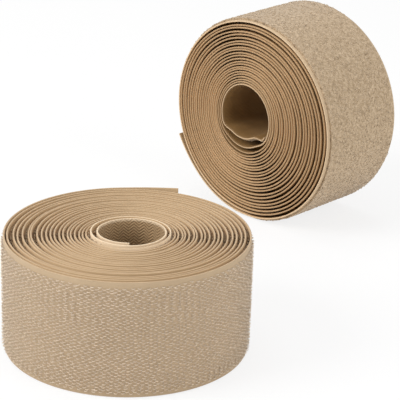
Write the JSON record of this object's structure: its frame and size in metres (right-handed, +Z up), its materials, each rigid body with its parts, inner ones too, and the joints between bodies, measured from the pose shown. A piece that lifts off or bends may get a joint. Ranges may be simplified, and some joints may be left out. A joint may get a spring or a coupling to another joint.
{
  "type": "hook and loop tape roll",
  "caption": "Coreless rolls of woven sew-on fastening tape: a hook roll lying flat beside a loop roll that stands on its rim, each with a free tail to peel off and cut.",
  "frame": {"origin": "on the surface that the rolls stand on, under the middle of the pair's bounding box", "axes": "+Z up, along the hook roll's axis; +X along the loop roll's axis, away from its near face"},
  "size_m": [0.244, 0.164, 0.101],
  "materials": {
    "hook_ground": "close woven nylon ribbon, matte",
    "hook_field": "rows of stiff nylon monofilament hooks",
    "loop_ground": "close woven nylon ribbon, matte",
    "loop_pile": "napped nylon loop pile, matte and mottled"
  },
  "bodies": {
    "hook_roll": {"hook_winding": "hook_ground", "hook_field": "hook_field"},
    "hook_tail_1": {"hook_tail_1": "hook_ground", "hook_tail_field_1": "hook_field"},
    "hook_tail_2": {"hook_tail_2": "hook_ground", "hook_tail_field_2": "hook_field"},
    "hook_tail_3": {"hook_tail_3": "hook_ground", "hook_tail_field_3": "hook_field"},
    "hook_inner_end": {"hook_inner_end": "hook_ground"},
    "loop_roll": {"loop_winding": "loop_ground", "loop_pile": "loop_pile"},
    "loop_tail_1": {"loop_tail_1": "loop_ground", "loop_tail_pile_1": "loop_pile"},
    "loop_tail_2": {"loop_tail_2": "loop_ground", "loop_tail_pile_2": "loop_pile"},
    "loop_tail_3": {"loop_tail_3": "loop_ground", "loop_tail_pile_3": "loop_pile"},
    "loop_inner_end": {"loop_inner_end": "loop_ground"}
  },
  "joints": [
    {"name": "loop_roll_lift", "type": "slide", "parent": "hook_roll", "child": "loop_roll", "axis": [0, 0, 1], "range_m": [0, 0.12]},
    {"name": "hook_tail_bend_1", "type": "hinge", "parent": "hook_roll", "child": "hook_tail_1", "pos_m": [-0.04801, 0.01793, 0], "axis": [0, 0, 1], "range_deg": [0, 35], "stiffness_Nm_per_rad": 0.03},
    {"name": "hook_tail_bend_2", "type": "hinge", "parent": "hook_tail_1", "child": "hook_tail_2", "pos_m": [-0.03686, 0.01125, 0], "axis": [0, 0, 1], "range_deg": [0, 35], "stiffness_Nm_per_rad": 0.03},
    {"name": "hook_tail_bend_3", "type": "hinge", "parent": "hook_tail_2", "child": "hook_tail_3", "pos_m": [-0.02698, 0.00261, 0], "axis": [0, 0, 1], "range_deg": [0, 35], "stiffness_Nm_per_rad": 0.03},
    {"name": "hook_inner_bend", "type": "hinge", "parent": "hook_roll", "child": "hook_inner_end", "pos_m": [-0.08231, -0.02784, 0], "axis": [0, 0, 1], "range_deg": [0, 35], "stiffness_Nm_per_rad": 0.03},
    {"name": "loop_tail_bend_1", "type": "hinge", "parent": "loop_roll", "child": "loop_tail_1", "pos_m": [0.07204, 0.05175, 0.00473], "axis": [-1, 0, 0], "range_deg": [0, 20], "stiffness_Nm_per_rad": 0.03},
    {"name": "loop_tail_bend_2", "type": "hinge", "parent": "loop_tail_1", "child": "loop_tail_2", "pos_m": [0.07204, 0.06296, 0.01133], "axis": [-1, 0, 0], "range_deg": [0, 20], "stiffness_Nm_per_rad": 0.03},
    {"name": "loop_tail_bend_3", "type": "hinge", "parent": "loop_tail_2", "child": "loop_tail_3", "pos_m": [0.07204, 0.07236, 0.02039], "axis": [-1, 0, 0], "range_deg": [0, 20], "stiffness_Nm_per_rad": 0.03},
    {"name": "loop_inner_bend", "type": "hinge", "parent": "loop_roll", "child": "loop_inner_end", "pos_m": [0.07204, 0.04849, 0.0438], "axis": [-1, 0, 0], "range_deg": [0, 30], "stiffness_Nm_per_rad": 0.03}
  ],
  "couplings": [
    {"joint": "hook_tail_bend_2", "follows": "hook_tail_bend_1", "ratio": 1},
    {"joint": "hook_tail_bend_3", "follows": "hook_tail_bend_1", "ratio": 1},
    {"joint": "loop_tail_bend_2", "follows": "loop_tail_bend_1", "ratio": 1},
    {"joint": "loop_tail_bend_3", "follows": "loop_tail_bend_1", "ratio": 1}
  ]
}
